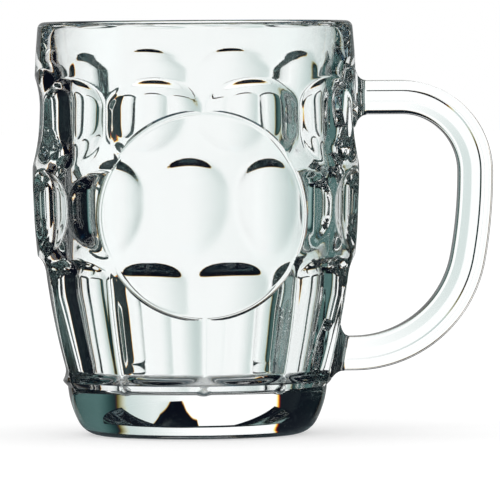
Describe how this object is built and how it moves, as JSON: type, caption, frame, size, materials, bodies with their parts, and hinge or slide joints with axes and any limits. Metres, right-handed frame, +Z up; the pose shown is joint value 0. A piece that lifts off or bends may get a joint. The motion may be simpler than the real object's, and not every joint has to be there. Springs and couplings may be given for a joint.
{
  "type": "dimpled glass beer mug",
  "caption": "Heavy pressed glass beer mug with staggered dimples, a round smooth medallion, a thick base and a welded loop handle.",
  "frame": {"origin": "on the mug's axis, in the plane of the flat standing ring", "axes": "+Z up along the mug's axis; the handle points along +X; the smooth round medallion faces -Y"},
  "size_m": [0.1417, 0.1008, 0.127],
  "materials": {
    "body_glass": "clear pressed soda-lime glass, fire polished, with a faint green-grey tint in the thick parts",
    "handle_glass": "clear soda-lime glass, fire polished, softly rounded edges"
  },
  "bodies": {
    "root": {"mug_body": "body_glass", "handle": "handle_glass"}
  },
  "joints": []
}
